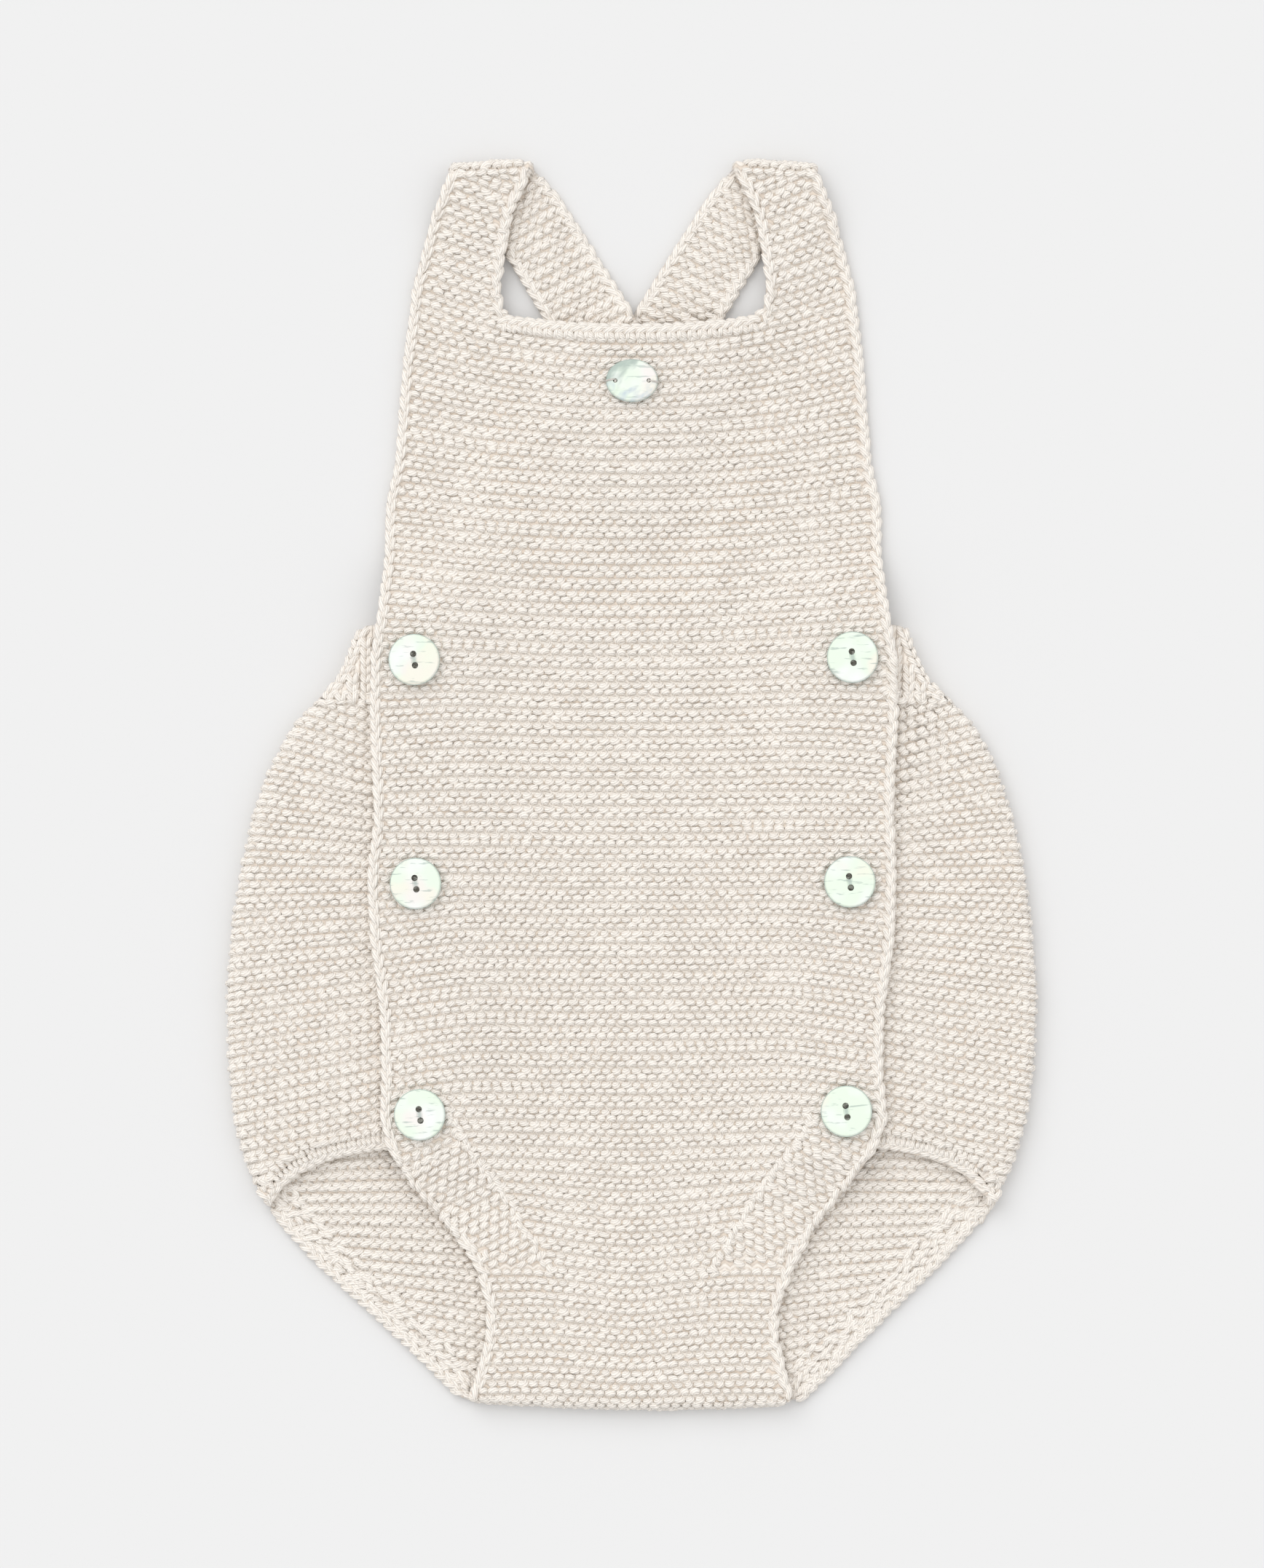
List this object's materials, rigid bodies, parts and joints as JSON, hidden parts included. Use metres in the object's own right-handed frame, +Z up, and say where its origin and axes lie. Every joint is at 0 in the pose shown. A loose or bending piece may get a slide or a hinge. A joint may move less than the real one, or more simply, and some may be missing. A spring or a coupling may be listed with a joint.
{
  "type": "knit overalls",
  "caption": "Baby's knitted overalls laid flat, front up: a long front panel with crossed straps lies on a wider back whose sides fold over as flaps, with shell buttons down both edges.",
  "frame": {"origin": "middle of the garment's outline, on the surface that it lies on", "axes": "+X to the viewer's right, +Y up to the shoulders, +Z up out of the surface, through the front"},
  "size_m": [0.2376, 0.366, 0.0121],
  "materials": {
    "knit": "cream yarn in garter stitch, matt with a slight sheen",
    "rib_knit": "cream yarn in rib stitch, matt",
    "border_knit": "cream yarn, narrow picked-up edge, matt",
    "button_shell": "polished shell, pale green-white with faint iridescence",
    "tag_shell": "polished shell, grey-white with faint iridescence"
  },
  "bodies": {
    "root": {"front_panel": "knit", "back_panel": "knit", "strap_left": "knit", "strap_right": "knit", "waist_rib": "rib_knit", "leg_border_left": "border_knit", "leg_border_right": "border_knit", "button_left_top": "button_shell", "button_left_middle": "button_shell", "button_left_bottom": "button_shell", "button_right_top": "button_shell", "button_right_middle": "button_shell", "button_right_bottom": "button_shell", "tag": "tag_shell"}
  },
  "joints": []
}
